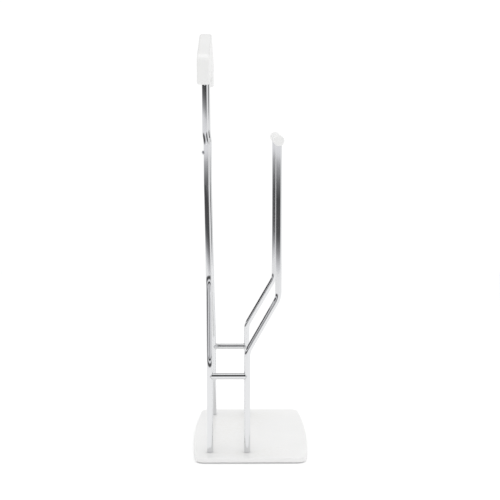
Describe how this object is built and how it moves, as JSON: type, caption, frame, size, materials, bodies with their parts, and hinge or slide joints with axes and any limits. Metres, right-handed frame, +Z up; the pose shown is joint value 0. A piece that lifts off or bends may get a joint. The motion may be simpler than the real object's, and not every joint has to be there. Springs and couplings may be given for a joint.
{
  "type": "valet stand",
  "caption": "Free-standing valet stand: flat board, bent tube side frames, round trouser bar across the front and a coat hanger at the top of the back.",
  "frame": {"origin": "on the floor, under the middle of the board", "axes": "+Z up, X along the board's length across the stand, front of the stand with the trouser bar facing -Y"},
  "size_m": [0.452, 0.304, 1.0935],
  "materials": {
    "white_lacquer": "satin white lacquer on fibreboard and beech",
    "chrome_tube": "bright chrome plate on steel tube",
    "zinc_steel": "bright zinc plate on steel fasteners",
    "grey_felt": "pressed grey felt"
  },
  "bodies": {
    "root": {"base_board": "white_lacquer", "glide_rear_left": "grey_felt", "glide_front_left": "grey_felt", "glide_rear_right": "grey_felt", "glide_front_right": "grey_felt", "base_bolt_rear_left": "zinc_steel", "base_bolt_front_left": "zinc_steel", "base_bolt_rear_right": "zinc_steel", "base_bolt_front_right": "zinc_steel", "base_washer_rear_left": "zinc_steel", "base_washer_front_left": "zinc_steel", "base_washer_rear_right": "zinc_steel", "base_washer_front_right": "zinc_steel", "foot_insert_rear_left": "zinc_steel", "foot_insert_front_left": "zinc_steel", "foot_insert_rear_right": "zinc_steel", "foot_insert_front_right": "zinc_steel", "rear_upright_left": "chrome_tube", "rear_upright_right": "chrome_tube", "front_upright_left": "chrome_tube", "front_upright_right": "chrome_tube", "rung_left": "chrome_tube", "rung_right": "chrome_tube", "upper_tube_left": "chrome_tube", "upper_tube_right": "chrome_tube", "lock_screw_left": "zinc_steel", "lock_screw_right": "zinc_steel", "bar_insert_left": "zinc_steel", "bar_insert_right": "zinc_steel", "bar_stud_left": "zinc_steel", "bar_stud_right": "zinc_steel", "hanger_screw_left": "zinc_steel", "hanger_screw_right": "zinc_steel", "trouser_bar": "white_lacquer", "hanger": "white_lacquer"}
  },
  "joints": []
}
